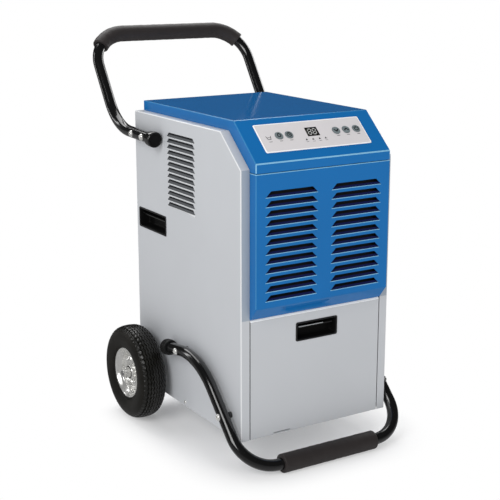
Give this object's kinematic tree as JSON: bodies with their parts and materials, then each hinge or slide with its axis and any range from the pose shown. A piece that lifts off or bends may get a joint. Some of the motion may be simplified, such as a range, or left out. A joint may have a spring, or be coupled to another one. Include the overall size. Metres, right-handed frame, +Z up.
{
  "type": "commercial dehumidifier",
  "caption": "Portable commercial dehumidifier: sheet-metal cabinet on pneumatic wheels with a bent-tube push handle, front foot frame, swing-out grille and pull-out water tank.",
  "frame": {"origin": "on the floor, under the middle of the whole machine's bounding box", "axes": "+Z up, -Y towards the front (grille, door and controls), +X to the right seen from the front"},
  "size_m": [0.64, 0.8864, 1.0521],
  "materials": {
    "grey_paint": "semi-gloss light grey powder coat on sheet steel",
    "blue_paint": "glossy mid-blue paint on sheet steel",
    "black_gloss": "glossy black paint on steel tube",
    "black_enamel": "black enamel on a steel can",
    "black_plastic": "moulded black plastic",
    "foam": "closed-cell foam sleeve, matte",
    "cap_rubber": "knurled rubber end cap",
    "tyre": "treaded pneumatic tyre",
    "zinc": "bright zinc plate",
    "steel": "plain steel",
    "panel_white": "off-white printed overlay",
    "button_grey": "grey button",
    "display_glass": "smoked display window",
    "board_green": "circuit board",
    "coil_aluminium": "aluminium fins",
    "copper": "copper tube",
    "tank_plastic": "light grey moulded tank",
    "filter_media": "washable filter media in a frame"
  },
  "bodies": {
    "cabinet": {"base_pan": "grey_paint", "left_side_panel": "grey_paint", "right_side_panel": "grey_paint", "rear_panel": "grey_paint", "mid_deck": "grey_paint", "fan_shroud": "grey_paint", "electrical_box": "grey_paint", "top_cover": "blue_paint", "handle_tube": "black_gloss", "foot_frame": "black_gloss", "compressor": "black_enamel", "left_grip_cup": "black_plastic", "right_grip_cup": "black_plastic", "drip_tray": "black_plastic", "cord_gland": "black_plastic", "drain_outlet": "black_plastic", "handle_grip": "foam", "foot_grip": "foam", "handle_cap_left": "cap_rubber", "handle_cap_right": "cap_rubber", "foot_cap_left": "cap_rubber", "foot_cap_right": "cap_rubber", "left_axle_nut": "zinc", "right_axle_nut": "zinc", "handle_bolt_left_1": "zinc", "handle_bolt_left_2": "zinc", "handle_bolt_right_1": "zinc", "handle_bolt_right_2": "zinc", "foot_bolt_left_1": "zinc", "foot_bolt_left_2": "zinc", "foot_bolt_right_1": "zinc", "foot_bolt_right_2": "zinc", "axle": "steel", "left_axle_bracket": "steel", "right_axle_bracket": "steel", "fan_motor": "steel", "motor_bracket": "steel", "control_overlay": "panel_white", "display_window": "display_glass", "control_board": "board_green", "evaporator": "coil_aluminium", "condenser": "coil_aluminium", "discharge_pipe": "copper", "suction_pipe": "copper"},
    "left_wheel": {"left_tyre": "tyre", "left_rim": "zinc"},
    "right_wheel": {"right_tyre": "tyre", "right_rim": "zinc"},
    "fan": {"fan_impeller": "black_plastic"},
    "grille": {"front_grille": "blue_paint", "air_filter": "filter_media"},
    "tank_drawer": {"tank_door": "grey_paint", "door_pull": "black_plastic", "water_tank": "tank_plastic"},
    "float": {"float_arm": "black_plastic"},
    "mode_button": {"mode_button": "button_grey"},
    "timer_button": {"timer_button": "button_grey"},
    "down_button": {"down_button": "button_grey"},
    "up_button": {"up_button": "button_grey"},
    "power_button": {"power_button": "button_grey"}
  },
  "joints": [
    {"name": "left_wheel_spin", "type": "hinge", "parent": "cabinet", "child": "left_wheel", "pos_m": [-0.279, 0.113, 0.1295], "axis": [1, 0, 0], "continuous": true},
    {"name": "right_wheel_spin", "type": "hinge", "parent": "cabinet", "child": "right_wheel", "pos_m": [0.279, 0.113, 0.1295], "axis": [1, 0, 0], "continuous": true},
    {"name": "fan_spin", "type": "hinge", "parent": "cabinet", "child": "fan", "pos_m": [0, -0.185, 0.572], "axis": [0, 1, 0], "continuous": true},
    {"name": "grille_swing", "type": "hinge", "parent": "cabinet", "child": "grille", "pos_m": [0, -0.3855, 0.75], "axis": [-1, 0, 0], "range_deg": [0, 60]},
    {"name": "tank_slide", "type": "slide", "parent": "cabinet", "child": "tank_drawer", "axis": [0, -1, 0], "range_m": [0, 0.25]},
    {"name": "float_lift", "type": "hinge", "parent": "tank_drawer", "child": "float", "pos_m": [0.11, -0.097, 0.282], "axis": [-1, 0, 0], "range_deg": [0, 40]},
    {"name": "mode_press", "type": "slide", "parent": "cabinet", "child": "mode_button", "axis": [0, 0.6655, -0.7464], "range_m": [0, 0.001], "stiffness_N_per_m": 600},
    {"name": "timer_press", "type": "slide", "parent": "cabinet", "child": "timer_button", "axis": [0, 0.6655, -0.7464], "range_m": [0, 0.001], "stiffness_N_per_m": 600},
    {"name": "down_press", "type": "slide", "parent": "cabinet", "child": "down_button", "axis": [0, 0.6655, -0.7464], "range_m": [0, 0.001], "stiffness_N_per_m": 600},
    {"name": "up_press", "type": "slide", "parent": "cabinet", "child": "up_button", "axis": [0, 0.6655, -0.7464], "range_m": [0, 0.001], "stiffness_N_per_m": 600},
    {"name": "power_press", "type": "slide", "parent": "cabinet", "child": "power_button", "axis": [0, 0.6655, -0.7464], "range_m": [0, 0.001], "stiffness_N_per_m": 600}
  ]
}
